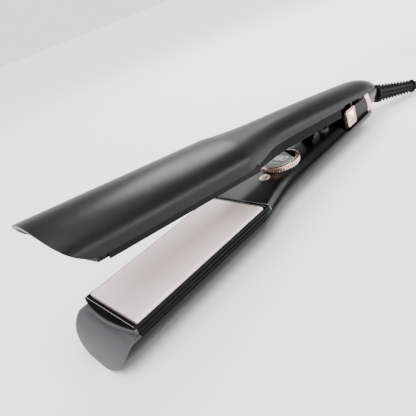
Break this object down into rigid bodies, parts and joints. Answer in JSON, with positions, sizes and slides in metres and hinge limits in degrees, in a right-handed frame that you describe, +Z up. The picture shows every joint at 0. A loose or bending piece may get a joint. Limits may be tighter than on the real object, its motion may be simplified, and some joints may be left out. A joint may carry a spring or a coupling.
{
  "type": "flat iron",
  "caption": "Hair straightener held open by its spring: wide coated plates, tapered black arms, temperature dial with digits, slide lock, swivel cord.",
  "frame": {"origin": "on the surface the iron lies on, under the middle of its length and width, cord left out", "axes": "+X from the tips to the tail, +Y across to the left seen from the tail, +Z up, away from the surface"},
  "size_m": [0.55, 0.0652, 0.0763],
  "materials": {
    "upper_shell": "satin black, finely textured",
    "lower_shell": "gloss black",
    "cover": "satin black",
    "frame": "gloss black",
    "cap": "satin dark grey",
    "plate": "rose-beige ceramic coating",
    "ceramic": "sintered ceramic",
    "silicone": "silicone",
    "wire": "silicone-insulated",
    "steel": "zinc plated",
    "board": "solder mask",
    "rose": "rose gold metallised",
    "housing": "black",
    "window": "grey tinted",
    "display": "black",
    "button": "rose gold",
    "bush": "sintered",
    "spring": "spring steel",
    "socket": "gloss black",
    "relief": "black",
    "cord": "black",
    "strap": "black hook-and-loop",
    "plug": "black",
    "pins": "nickel plated"
  },
  "bodies": {
    "lower_arm": {"lower_outer_shell": "lower_shell", "lower_inner_cover": "cover", "lower_plate_frame": "frame", "lower_tip_cap": "cap", "lower_plate_cushions": "silicone", "lower_wires": "wire", "lower_screws": "steel", "control_board": "board", "dial_encoder": "housing", "display_window": "window", "display_module": "display", "button_switch": "housing", "hinge_block": "housing", "hinge_bushes": "bush", "opening_spring": "spring", "rear_collar": "rose", "cord_socket": "socket", "power_cord": "cord", "cord_hank": "cord", "cord_tie": "strap", "plug_lead": "cord", "plug_body": "plug", "plug_pins": "pins"},
    "upper_arm": {"upper_outer_shell": "upper_shell", "upper_inner_cover": "cover", "upper_plate_frame": "frame", "upper_tip_cap": "cap", "upper_plate_cushions": "silicone", "upper_wires": "wire", "upper_screws": "steel", "hinge_pin": "steel", "hinge_bracket": "steel"},
    "lower_plate": {"lower_heating_plate": "plate", "lower_heater": "ceramic", "thermal_fuse": "steel"},
    "upper_plate": {"upper_heating_plate": "plate", "upper_heater": "ceramic", "thermistor": "steel"},
    "dial": {"dial_ring": "rose"},
    "button": {"power_button": "button"},
    "lock": {"lock_slider": "rose"},
    "cord_swivel": {"strain_relief": "relief"}
  },
  "joints": [
    {"name": "arm_hinge", "type": "hinge", "parent": "lower_arm", "child": "upper_arm", "pos_m": [0.09, 0, 0.0202], "axis": [0, 1, 0], "range_deg": [-8.3, 0], "stiffness_Nm_per_rad": 2.5, "springref_deg": 11.46, "deforming": ["opening_spring"]},
    {"name": "lower_plate_float", "type": "slide", "parent": "lower_arm", "child": "lower_plate", "axis": [0, 0, -1], "range_m": [0, 0.0008], "stiffness_N_per_m": 3000, "springref_m": -0.0003},
    {"name": "upper_plate_float", "type": "slide", "parent": "upper_arm", "child": "upper_plate", "axis": [0.1444, 0, 0.9895], "range_m": [0, 0.0008], "stiffness_N_per_m": 3000, "springref_m": -0.0003},
    {"name": "dial_turn", "type": "hinge", "parent": "lower_arm", "child": "dial", "pos_m": [0.0005, 0, 0.0202], "axis": [0, 0, 1], "continuous": true},
    {"name": "power_press", "type": "slide", "parent": "lower_arm", "child": "button", "axis": [0, 0, -1], "range_m": [0, 0.0005], "stiffness_N_per_m": 1500, "springref_m": -0.0004},
    {"name": "lock_slide", "type": "slide", "parent": "lower_arm", "child": "lock", "axis": [1, 0, 0], "range_m": [0, 0.004]},
    {"name": "cord_swivel", "type": "hinge", "parent": "lower_arm", "child": "cord_swivel", "pos_m": [0.115, 0, 0.0165], "axis": [0.8792, -0.4288, -0.2079], "continuous": true}
  ]
}
